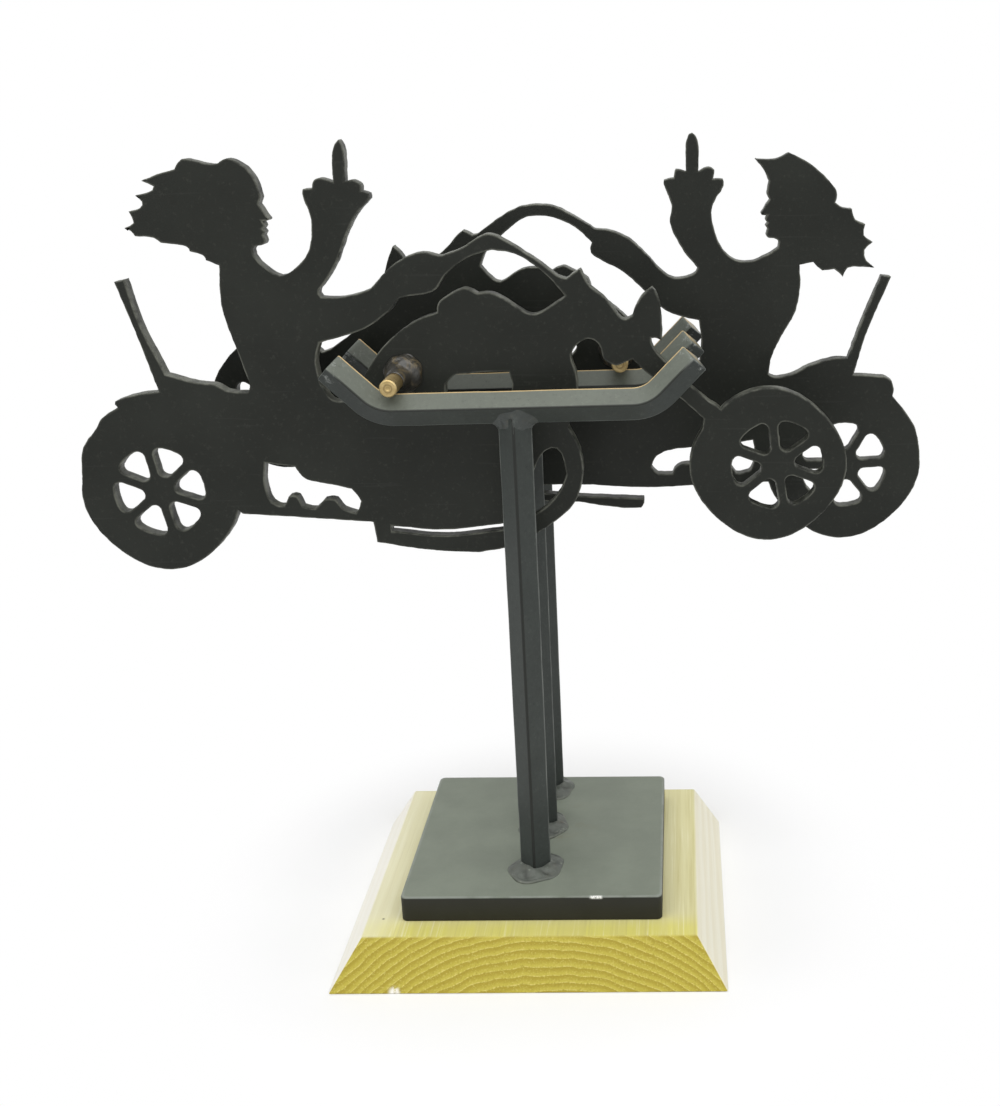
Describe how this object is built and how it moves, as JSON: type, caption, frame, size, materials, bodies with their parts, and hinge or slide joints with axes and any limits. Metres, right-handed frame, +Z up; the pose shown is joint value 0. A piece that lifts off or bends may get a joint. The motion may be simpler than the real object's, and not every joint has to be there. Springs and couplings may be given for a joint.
{
  "type": "kinetic table sculpture",
  "caption": "Balancing table sculpture: flat steel cars, each driver with a hand raised, rock on brass pins that ride bent rails on posts over a steel plate and a bevelled wooden base.",
  "frame": {"origin": "on the wooden base's underside, below the middle of its flat top", "axes": "+Z up, +X to the right seen from the front, along the rails, +Y to the back across the rails"},
  "size_m": [0.361, 0.141, 0.3486],
  "materials": {
    "wood": "clear yellow varnish",
    "bar_paint": "satin dark blue-grey paint, rubbed on the edges",
    "weld": "lumpy weld under satin paint",
    "car_paint": "satin black paint with torch-cut edges",
    "bead": "glossy painted weld bead",
    "brass": "turned, slightly dull",
    "screw_steel": "zinc plated"
  },
  "bodies": {
    "stand": {"wood_base": "wood", "base_plate": "bar_paint", "base_screws": "screw_steel", "front_post": "bar_paint", "middle_post": "bar_paint", "rear_post": "bar_paint", "front_rail": "bar_paint", "middle_rail": "bar_paint", "rear_rail": "bar_paint", "front_foot_weld": "weld", "middle_foot_weld": "weld", "rear_foot_weld": "weld", "front_head_weld": "weld", "middle_head_weld": "weld", "rear_head_weld": "weld"},
    "front_axle": {"front_pin": "brass"},
    "front_silhouette": {"front_car": "car_paint", "front_pin_weld": "bead"},
    "rear_axle": {"rear_pin": "brass"},
    "rear_silhouette": {"rear_car": "car_paint", "rear_pin_weld": "bead"}
  },
  "joints": [
    {"name": "front_pin_travel", "type": "slide", "parent": "stand", "child": "front_axle", "axis": [0.9998, 0, 0.0192], "range_m": [0, 0.036]},
    {"name": "front_car_rock", "type": "hinge", "parent": "front_axle", "child": "front_silhouette", "pos_m": [-0.0486, -0.0105, 0.25492], "axis": [0, 1, 0], "range_deg": [-35, 35]},
    {"name": "rear_pin_travel", "type": "slide", "parent": "stand", "child": "rear_axle", "axis": [0.9998, 0, 0.0192], "range_m": [-0.03, 0.005]},
    {"name": "rear_car_rock", "type": "hinge", "parent": "rear_axle", "child": "rear_silhouette", "pos_m": [0.0415, 0.0265, 0.25665], "axis": [0, 1, 0], "range_deg": [-35, 35]}
  ]
}
